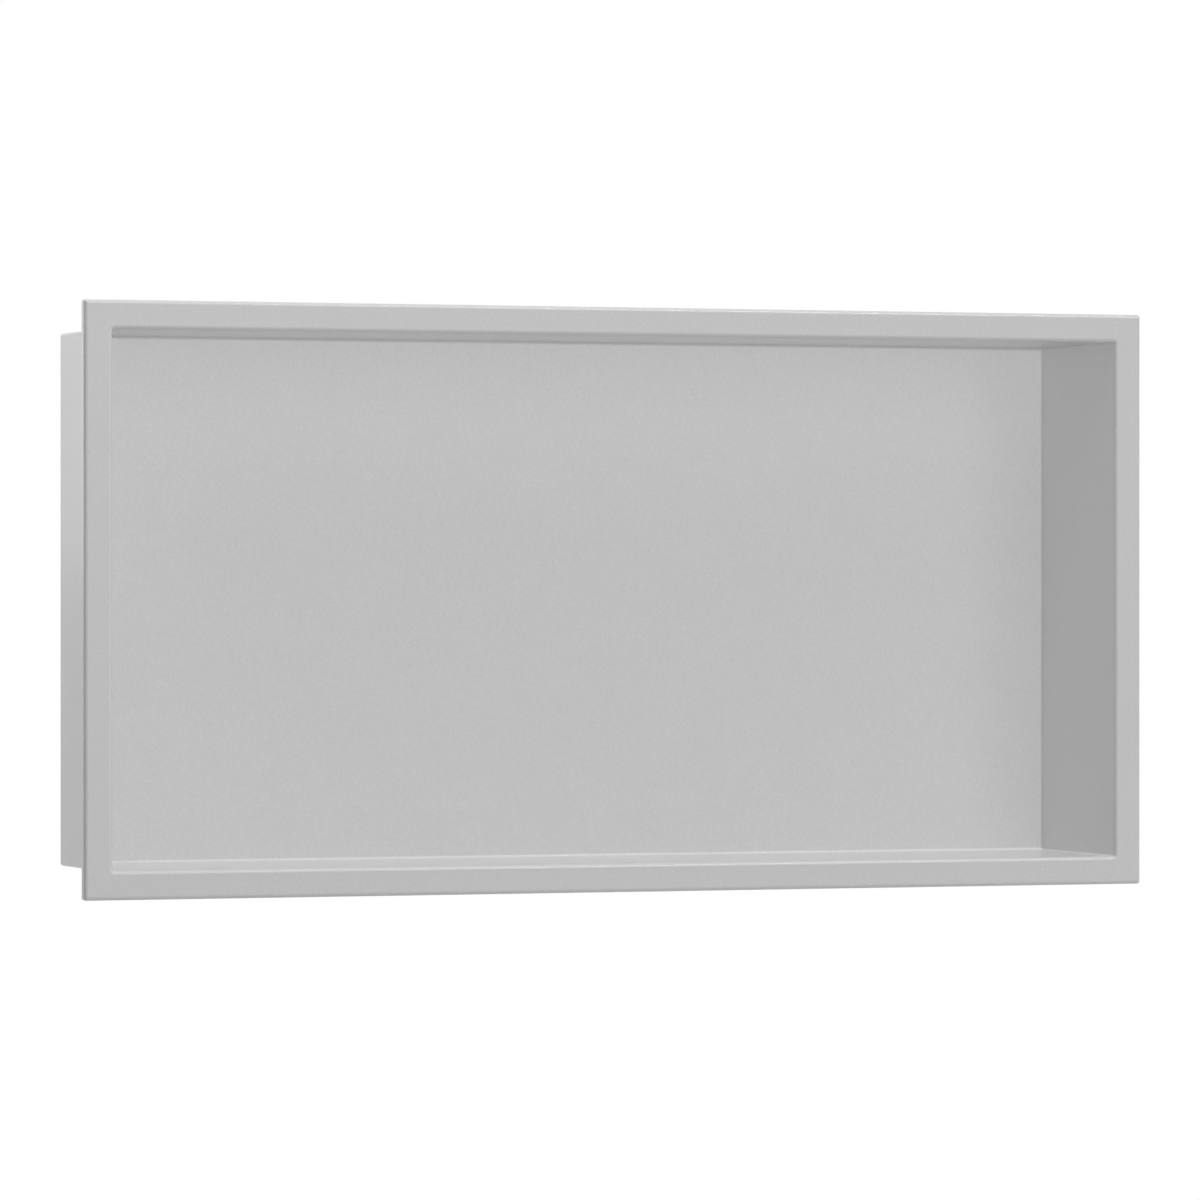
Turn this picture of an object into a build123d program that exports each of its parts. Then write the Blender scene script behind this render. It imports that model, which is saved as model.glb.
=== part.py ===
"""Shower niche insert: one folded and welded sheet, a five-sided box with a frame round its mouth.

Millimetres, +Z up, +X to the right as the user sees it, +Y into the wall.
The origin is the middle of the mouth, in the plane of the finished wall that the frame's lip rests on.
"""
import os

from build123d import *

# Wall recess that the insert drops into
recess_width = 600.0
recess_height = 300.0
recess_depth = 100.0

# Room left in the recess, beside the box and behind it
side_clearance = 1.8
back_clearance = 0.8

# Sheet, and the inside radius of its folds at both edges of the frame
sheet = 1.2
fold_inside = 1.1

# Frame: how far it laps past the recess on each side, and how far its face stands off the wall
frame_lap = 13.0
frame_stand = 6.0

# Box: inside radius of its long welded seams, inside radius round its back, and outside radius of both
seam_corner = 0.8
back_corner = 1.6
box_edge = 1.8

# Inside radius of the lip at the frame's four corners, as seen from the front
lip_corner = 0.3

# Worked out from the sizes above
box_width = recess_width - 2 * side_clearance
box_height = recess_height - 2 * side_clearance
box_back = recess_depth - back_clearance
niche_width = box_width - 2 * sheet
niche_height = box_height - 2 * sheet
frame_width = recess_width + 2 * frame_lap
frame_height = recess_height + 2 * frame_lap
fold_outside = fold_inside + sheet
frame_front = -frame_stand


def facing_wall(depth):
    """Sketch plane at that depth, square to the wall, from which a sketch extrudes into the wall."""
    return Plane(origin=(0, depth, 0), x_dir=(1, 0, 0), z_dir=(0, 1, 0))


def flat_at(body, depth):
    """The body's flat face, square to the wall's normal, that lies at that depth."""
    flats = body.faces().filter_by(Axis.Y)
    return min(flats, key=lambda face: abs(face.center().Y - depth))


def slab(width, height, front, corner, edge):
    """Block from front to the wall plane, rounded by corner in plan and by edge round its front."""
    block = extrude(facing_wall(front) * RectangleRounded(width, height, corner), -front)
    return fillet(flat_at(block, front).edges(), edge)


def tray(width, height, back, corner, edge):
    """Block from the frame's front to back, rounded by corner in plan and by edge round its back."""
    block = extrude(facing_wall(frame_front) * RectangleRounded(width, height, corner), back - frame_front)
    return fillet(flat_at(block, back).edges(), edge)


def folded_frame():
    """Face of the frame with its outer edge folded back into a lip all round, hollow towards the wall."""
    outside = slab(frame_width, frame_height, frame_front, lip_corner + sheet, fold_outside)
    hollow_width = frame_width - 2 * sheet
    hollow_height = frame_height - 2 * sheet
    hollow = slab(hollow_width, hollow_height, frame_front + sheet, lip_corner, fold_inside)
    return outside - hollow


def niche_body():
    """Frame and box as one sheet, with the same fold at the mouth as along the lip."""
    body = folded_frame() + tray(box_width, box_height, box_back, box_edge, box_edge)
    behind_face = flat_at(body, frame_front + sheet)
    body = fillet(behind_face.inner_wires()[0].edges(), fold_inside)
    body -= tray(niche_width, niche_height, box_back - sheet, seam_corner, back_corner)
    face = flat_at(body, frame_front)
    return fillet(face.inner_wires()[0].edges(), fold_outside)


os.makedirs("parts", exist_ok=True)
export_step(niche_body(), "parts/niche_body.step")
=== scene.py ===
"""Shower niche insert, dressed and lit for its picture.

Metres, in the part's own frame: +X to the right as the user sees it, +Y into the wall, +Z up.
"""
import math

import bpy
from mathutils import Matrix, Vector


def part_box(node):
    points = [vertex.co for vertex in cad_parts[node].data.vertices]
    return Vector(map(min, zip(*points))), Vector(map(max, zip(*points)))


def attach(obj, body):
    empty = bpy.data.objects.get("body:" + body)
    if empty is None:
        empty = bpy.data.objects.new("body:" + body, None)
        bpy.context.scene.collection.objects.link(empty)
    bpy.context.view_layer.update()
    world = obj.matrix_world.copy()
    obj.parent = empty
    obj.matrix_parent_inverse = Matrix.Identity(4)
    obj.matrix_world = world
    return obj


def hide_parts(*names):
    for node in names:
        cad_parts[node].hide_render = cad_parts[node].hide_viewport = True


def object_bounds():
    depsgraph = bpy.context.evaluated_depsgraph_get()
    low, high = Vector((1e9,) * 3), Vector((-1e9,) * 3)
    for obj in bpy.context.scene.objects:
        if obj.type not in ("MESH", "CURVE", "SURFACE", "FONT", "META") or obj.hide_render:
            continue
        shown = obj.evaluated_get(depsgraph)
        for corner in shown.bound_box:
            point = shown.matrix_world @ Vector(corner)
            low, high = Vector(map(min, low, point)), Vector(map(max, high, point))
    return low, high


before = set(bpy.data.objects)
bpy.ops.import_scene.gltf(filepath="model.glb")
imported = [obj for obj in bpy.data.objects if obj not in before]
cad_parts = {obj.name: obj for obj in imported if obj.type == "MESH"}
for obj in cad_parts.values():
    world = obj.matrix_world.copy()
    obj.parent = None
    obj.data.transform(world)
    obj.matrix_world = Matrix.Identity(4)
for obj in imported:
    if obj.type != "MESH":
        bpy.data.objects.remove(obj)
cad_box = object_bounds()

# Sheet, and the outside radius of its folds at both edges of the frame
SHEET = 0.0012
FOLD = 0.0023

# Box: how far its outside lies in from the frame's edge, the inside radii of its seams and round its back,
# and the outside radius of both
BOX_INSET = 0.0148
SEAM_CORNER = 0.0008
BACK_CORNER = 0.0016
BOX_EDGE = 0.0018

# Outside radius of the frame's corners as seen from the front, and the eased edge of the cut sheet
FRAME_CORNER = 0.0015
CUT_EDGE = 0.00025

# Facets of a quarter turn in the folds, on the cut edge and round the corners, and the grid on which points
# that fall together are joined
FOLD_STEPS = 10
CUT_STEPS = 3
CORNER_STEPS = 10
WELD = 1e-7

# Powder coat: its grain's spacing, depth and octaves, its slow clouds, its range of roughness and of grey,
# and the grain's share in the grey, with the rest from the clouds. The roughness stays below about 0.27,
# because a range across that comes out of the denoiser far too coarse.
GRAIN_SPACING = 0.0015
GRAIN_DEPTH = 0.00006
GRAIN_DETAIL = 2.0
CLOUD_SPACING = 0.03
CLOUD_DETAIL = 3.0
COAT_ROUGHNESS = (0.19, 0.25)
COAT_GREYS = (0.455, 0.545)
GRAIN_SHARE = 0.85

# Camera, fitted to the photograph's edges: place, degrees to the right and up, lens and sensor in millimetres
CAMERA_PLACE = Vector((-1.27727, -3.50883, 0.00683))
CAMERA_PAN = 19.7975
CAMERA_PITCH = -0.1077
CAMERA_LENS = 200.74
SENSOR = 36.0

# Floor, as far below as a shower floor is below its niche, and where it fades into the white ground
FLOOR_DROP = 1.2
FLOOR_REACH = 30.0
FLOOR_COLOUR = (0.8, 0.8, 0.8, 1.0)
FADE_FROM = 0.7
FADE_TO = 1.6

# White ground, and the even light from all round besides the lamps
WHITE = (1, 1, 1, 1)
AMBIENT = 0.15

# Soft lamps round the part: degrees to the right of its front, degrees up, distance, size, watts,
# whether it casts shadows, and whether it shows in the gloss
LAMPS = {
    "key": (30, 42, 8.0, 1.6, 100.0, False, True),
    "low_right": (40, -10, 7.0, 2.0, 153.0, False, False),
    "low_left": (-15, -10, 7.0, 2.0, 54.0, False, False),
    "overhead": (0, 80, 2.5, 1.1, 39.0, False, False),
    "left": (-60, 50, 0.9, 0.5, 0.78, False, False),
    "front": (15, 15, 6.0, 2.4, 34.0, True, False),
    "top": (-30, 60, 2.5, 1.1, 7.1, True, False),
    "rim": (-135, 15, 1.0, 0.5, 0.65, True, True),
    "side": (-120, 30, 1.0, 0.5, 1.4, True, False),
    "rear_left": (-150, 0, 8.0, 2.0, 178.0, False, False),
    "rear_right": (150, -6, 8.0, 2.0, 165.0, True, False),
}


def arc(centre, radius, start, end, steps, outward):
    """Points of a section's arc as (inset, depth, normal).

    Its angles are in quarter turns from +inset to +depth, and its normals point out of or into its circle.
    """
    side = 1 if outward else -1
    points = []
    for step in range(steps + 1):
        angle = math.radians(90 * (start + (end - start) * step / steps))
        across, along = math.cos(angle), math.sin(angle)
        normal = (side * across, side * along)
        points.append((centre[0] + radius * across, centre[1] + radius * along, normal))
    return points


def sheet_section(front, back):
    """The sheet's section from the inside of its back round the lip to the outside of its back.

    Returns three stretches, each with the inset about which its corners turn and its points as
    (inset from the frame's edge, depth, normal): inside the box, round the lip, and outside the box.
    """
    bend = FOLD - SHEET
    wall = BOX_INSET + SHEET
    mouth_fold = (wall - FOLD, front + FOLD)
    lip_fold = (FOLD, front + FOLD)
    inside = arc((wall + BACK_CORNER, back - SHEET - BACK_CORNER), BACK_CORNER, 1, 2, FOLD_STEPS, False)
    inside += arc(mouth_fold, FOLD, 0, -1, FOLD_STEPS, True)
    lip = arc(lip_fold, FOLD, -1, -2, FOLD_STEPS, True)
    lip += arc((CUT_EDGE, -CUT_EDGE), CUT_EDGE, 2, 1, CUT_STEPS, True)
    lip += arc((SHEET - CUT_EDGE, -CUT_EDGE), CUT_EDGE, 1, 0, CUT_STEPS, True)
    lip += arc(lip_fold, bend, 2, 3, FOLD_STEPS, False)
    outside = arc(mouth_fold, bend, 3, 4, FOLD_STEPS, False)
    outside += arc((BOX_INSET + BOX_EDGE, back - BOX_EDGE), BOX_EDGE, 2, 1, FOLD_STEPS, True)
    return (wall + SEAM_CORNER, inside), (FRAME_CORNER, lip), (BOX_INSET + BOX_EDGE, outside)


def ring(half_width, half_height, corner_inset, point):
    """One turn of a section's point round the frame, as (place, normal).

    Its corners turn about the point at corner_inset from both edges. Further in than that, they are mitred.
    """
    inset, depth, (across, along) = point
    radius = max(0.0, corner_inset - inset)
    reach_x = half_width - inset - radius
    reach_z = half_height - inset - radius
    turn = []
    for quarter, (side, up) in enumerate(((1, 1), (-1, 1), (-1, -1), (1, -1))):
        for step in range(CORNER_STEPS + 1):
            angle = math.radians(90 * (quarter + step / CORNER_STEPS))
            x, z = math.cos(angle), math.sin(angle)
            place = (side * reach_x + radius * x, depth, up * reach_z + radius * z)
            turn.append((place, (-across * x, along, -across * z)))
    return turn


def capped_loft(name, rings):
    """Closed mesh through rings of (place, normal), flat at both ends, that is shaded by those normals."""
    numbers = {}
    faces = []
    normals = []

    def face(corners):
        """Adds a face, without the corners that fall together, or nothing where fewer than three are left."""
        kept = {}
        for place, normal in corners:
            kept.setdefault(tuple(round(value / WELD) for value in place), normal)
        if len(kept) > 2:
            faces.append([numbers.setdefault(key, len(numbers)) for key in kept])
            normals.extend(kept.values())

    for near, far in zip(rings, rings[1:]):
        for i in range(len(near)):
            face((near[i], near[i - 1], far[i - 1], far[i]))
    face([(place, (0, -1, 0)) for place, normal in rings[0]])
    face([(place, (0, 1, 0)) for place, normal in reversed(rings[-1])])
    mesh = bpy.data.meshes.new(name)
    mesh.from_pydata([[value * WELD for value in key] for key in numbers], [], faces)
    mesh.shade_smooth()
    mesh.normals_split_custom_set(normals)
    piece = bpy.data.objects.new(name, mesh)
    bpy.context.scene.collection.objects.link(piece)
    return piece


def niche_sheet():
    """The whole coated sheet, with exact normals so that flats stay flat beside the folds."""
    low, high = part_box("niche_body")
    rings = []
    for corner_inset, stretch in sheet_section(low.y, high.y):
        rings += [ring(high.x, high.z, corner_inset, point) for point in stretch]
    return capped_loft("niche_sheet", rings)


def material(name):
    """A new material with no nodes yet, and its node tree."""
    made = bpy.data.materials.new(name)
    made.use_nodes = True
    made.node_tree.nodes.clear()
    return made, made.node_tree


def node(tree, kind, **values):
    """A node of that kind, with its sockets set by name."""
    made = tree.nodes.new(kind)
    for socket, value in values.items():
        made.inputs[socket.replace("_", " ")].default_value = value
    return made


def noise(tree, spacing, detail):
    """Smooth noise in the part's own frame, with its grains about that far apart."""
    place = node(tree, "ShaderNodeTexCoord")
    made = node(tree, "ShaderNodeTexNoise", Scale=1 / spacing, Detail=detail)
    tree.links.new(place.outputs["Object"], made.inputs["Vector"])
    return made.outputs["Fac"]


def powder_coat():
    """Light grey powder coat: one fine grain in its surface, gloss and tone, and slow clouds in the tone."""
    made, tree = material("powder_coat")
    out = node(tree, "ShaderNodeOutputMaterial")
    coat = node(tree, "ShaderNodeBsdfPrincipled")
    grain = noise(tree, GRAIN_SPACING, GRAIN_DETAIL)
    relief = node(tree, "ShaderNodeBump", Distance=GRAIN_DEPTH)
    gloss = node(tree, "ShaderNodeMapRange", To_Min=COAT_ROUGHNESS[0], To_Max=COAT_ROUGHNESS[1])
    speckle = node(tree, "ShaderNodeMix", Factor=GRAIN_SHARE)
    tone = tree.nodes.new("ShaderNodeValToRGB")
    for stop, grey in zip(tone.color_ramp.elements, COAT_GREYS):
        stop.color = (grey, grey, grey, 1.0)
    tree.links.new(grain, relief.inputs["Height"])
    tree.links.new(relief.outputs["Normal"], coat.inputs["Normal"])
    tree.links.new(grain, gloss.inputs["Value"])
    tree.links.new(gloss.outputs["Result"], coat.inputs["Roughness"])
    tree.links.new(noise(tree, CLOUD_SPACING, CLOUD_DETAIL), speckle.inputs["A"])
    tree.links.new(grain, speckle.inputs["B"])
    tree.links.new(speckle.outputs["Result"], tone.inputs["Fac"])
    tree.links.new(tone.outputs["Color"], coat.inputs["Base Color"])
    tree.links.new(coat.outputs["BSDF"], out.inputs["Surface"])
    return made


def seen_directly(tree):
    """1 for rays that show the white ground: from the camera, in a gloss and through glass."""
    path = node(tree, "ShaderNodeLightPath")
    total = path.outputs["Is Camera Ray"]
    for kind in ("Is Glossy Ray", "Is Transmission Ray"):
        either = tree.nodes.new("ShaderNodeMath")
        either.operation = "MAXIMUM"
        tree.links.new(total, either.inputs[0])
        tree.links.new(path.outputs[kind], either.inputs[1])
        total = either.outputs[0]
    return total


def white_world():
    """White ground behind everything, and even light at a lower level for what is lit by it."""
    world = bpy.data.worlds.new("studio")
    bpy.context.scene.world = world
    world.use_nodes = True
    tree = world.node_tree
    tree.nodes.clear()
    out = node(tree, "ShaderNodeOutputWorld")
    mix = node(tree, "ShaderNodeMixShader")
    lit = node(tree, "ShaderNodeBackground", Color=WHITE, Strength=AMBIENT)
    seen = node(tree, "ShaderNodeBackground", Color=WHITE, Strength=1.0)
    tree.links.new(seen_directly(tree), mix.inputs["Fac"])
    tree.links.new(lit.outputs[0], mix.inputs[1])
    tree.links.new(seen.outputs[0], mix.inputs[2])
    tree.links.new(mix.outputs[0], out.inputs["Surface"])


def floor():
    """Pale floor that takes the shadow near the part and fades into the white ground further out."""
    made, tree = material("studio_floor")
    out = node(tree, "ShaderNodeOutputMaterial")
    place = node(tree, "ShaderNodeTexCoord")
    away = tree.nodes.new("ShaderNodeVectorMath")
    away.operation = "LENGTH"
    fade = node(tree, "ShaderNodeMapRange", From_Min=FADE_FROM, From_Max=FADE_TO)
    fade.interpolation_type = "SMOOTHSTEP"
    matt = node(tree, "ShaderNodeBsdfDiffuse", Color=FLOOR_COLOUR)
    ground = node(tree, "ShaderNodeEmission", Color=WHITE, Strength=1.0)
    both = tree.nodes.new("ShaderNodeMath")
    both.operation = "MULTIPLY"
    mix = node(tree, "ShaderNodeMixShader")
    tree.links.new(place.outputs["Object"], away.inputs[0])
    tree.links.new(away.outputs["Value"], fade.inputs["Value"])
    tree.links.new(fade.outputs["Result"], both.inputs[0])
    tree.links.new(seen_directly(tree), both.inputs[1])
    tree.links.new(both.outputs[0], mix.inputs["Fac"])
    tree.links.new(matt.outputs[0], mix.inputs[1])
    tree.links.new(ground.outputs[0], mix.inputs[2])
    tree.links.new(mix.outputs[0], out.inputs["Surface"])
    half = FLOOR_REACH
    corners = [(-half, -half, 0), (half, -half, 0), (half, half, 0), (-half, half, 0)]
    mesh = bpy.data.meshes.new("floor")
    mesh.from_pydata(corners, [], [(0, 1, 2, 3)])
    mesh.materials.append(made)
    plane = bpy.data.objects.new("floor", mesh)
    plane.location = (0, 0, cad_box[0][2] - FLOOR_DROP)
    bpy.context.scene.collection.objects.link(plane)


def lamp(name, right, up, distance, size, power, shadow, gloss):
    """Square soft lamp that looks at the part from that direction.

    One without shadows has no multiple importance sampling, which would let surfaces half block it.
    """
    light = bpy.data.lights.new(name, "AREA")
    light.shape = "SQUARE"
    light.size = size
    light.energy = power
    light.use_shadow = shadow
    light.cycles.use_multiple_importance_sampling = shadow
    right, up = math.radians(right), math.radians(up)
    towards = Vector((math.sin(right) * math.cos(up), -math.cos(right) * math.cos(up), math.sin(up)))
    made = bpy.data.objects.new(name, light)
    made.location = towards * distance
    made.rotation_euler = towards.to_track_quat("Z", "Y").to_euler()
    made.visible_camera = False
    made.visible_glossy = gloss
    bpy.context.scene.collection.objects.link(made)


def camera():
    """Long lens at the photograph's angle, with no shift."""
    data = bpy.data.cameras.new("camera")
    data.lens = CAMERA_LENS
    data.sensor_width = SENSOR
    data.sensor_fit = "HORIZONTAL"
    made = bpy.data.objects.new("camera", data)
    made.location = CAMERA_PLACE
    made.rotation_euler = (math.radians(90 + CAMERA_PITCH), 0, math.radians(-CAMERA_PAN))
    bpy.context.scene.collection.objects.link(made)
    bpy.context.scene.camera = made


sheet = niche_sheet()
sheet.data.materials.append(powder_coat())
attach(sheet, "root")
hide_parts("niche_body")

white_world()
floor()
for name, values in LAMPS.items():
    lamp(name, *values)
camera()
bpy.context.scene.view_settings.view_transform = "Standard"
